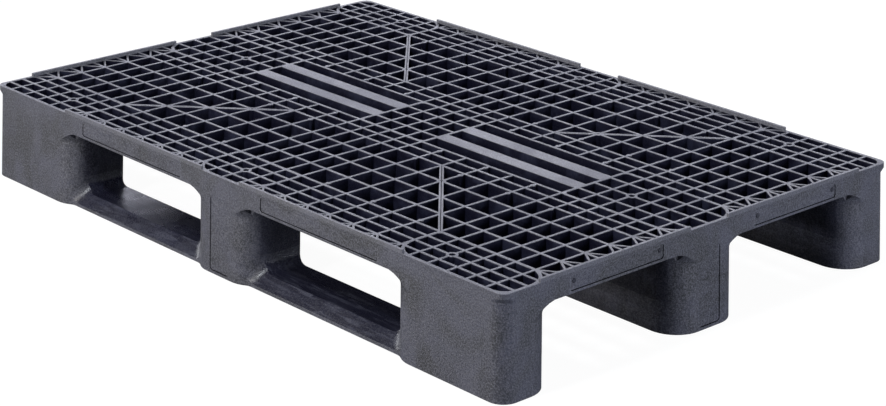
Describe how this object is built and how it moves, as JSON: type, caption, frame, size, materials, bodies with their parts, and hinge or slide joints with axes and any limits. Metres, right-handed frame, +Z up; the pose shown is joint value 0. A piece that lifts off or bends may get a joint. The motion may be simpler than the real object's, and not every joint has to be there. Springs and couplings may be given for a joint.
{
  "type": "plastic pallet",
  "caption": "Four-way plastic pallet with an open rib deck, hollow legs, bevelled runners and a low retaining rim.",
  "frame": {"origin": "centre of the footprint, on the ground", "axes": "+Z up; X along the runners, the long side; Y along the short side; -Y is the front long side"},
  "size_m": [1.2, 0.8, 0.15],
  "materials": {
    "deck": "moulded, slightly worn on the rib tops",
    "legs": "moulded, with flow marks",
    "runners": "moulded, scuffed",
    "plates": "moulded",
    "panels": "moulded",
    "rivets": "moulded",
    "screws": "zinc plated"
  },
  "bodies": {
    "root": {"deck": "deck", "deck_screws": "screws", "leg_back_left": "legs", "leg_back_middle": "legs", "leg_back_right": "legs", "leg_centre": "legs", "leg_front_left": "legs", "leg_front_middle": "legs", "leg_front_right": "legs", "leg_middle_left": "legs", "leg_middle_right": "legs", "panel_back": "panels", "panel_front": "panels", "panel_left": "panels", "panel_right": "panels", "plate_back_left": "plates", "plate_back_right": "plates", "plate_front_left": "plates", "plate_front_right": "plates", "plate_left_back": "plates", "plate_left_front": "plates", "plate_right_back": "plates", "plate_right_front": "plates", "plate_rivets": "rivets", "runner_back": "runners", "runner_front": "runners", "runner_middle": "runners", "runner_screws": "screws"}
  },
  "joints": []
}
